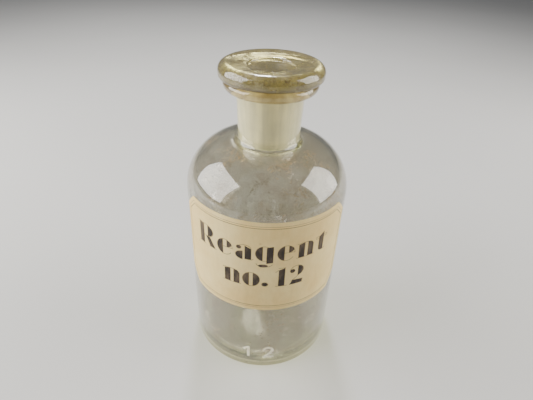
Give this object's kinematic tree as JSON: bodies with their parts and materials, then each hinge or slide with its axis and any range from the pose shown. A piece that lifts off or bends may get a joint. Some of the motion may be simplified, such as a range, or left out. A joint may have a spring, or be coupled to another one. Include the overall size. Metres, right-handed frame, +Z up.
{
  "type": "reagent bottle",
  "caption": "Round clear glass laboratory bottle with a ground glass stopper that lifts out, a paper label and a painted number.",
  "frame": {"origin": "centre of the base, on the surface that the bottle stands on", "axes": "+Z up along the axis of the bottle and its stopper, label on the -Y side, +X to the right of someone who reads the label"},
  "size_m": [0.086, 0.0862, 0.1703],
  "materials": {
    "bottle_glass": "clear, faintly green blown glass, worn and dusty, with a frosted ground zone inside the neck",
    "stopper_glass": "clear, faintly yellow-green pressed glass with a frosted ground plug",
    "label_paper": "aged cream paper, matt, darker at the edges",
    "label_ink": "brown-black stencil ink, washed unevenly",
    "number_enamel": "cream enamel paint, brushed on by hand"
  },
  "bodies": {
    "bottle": {"bottle": "bottle_glass", "paper_label": "label_paper", "label_lettering": "label_ink", "painted_number": "number_enamel"},
    "stopper": {"stopper": "stopper_glass"}
  },
  "joints": [
    {"name": "stopper_lift", "type": "slide", "parent": "bottle", "child": "stopper", "axis": [0, 0, 1], "range_m": [0, 0.06]}
  ]
}
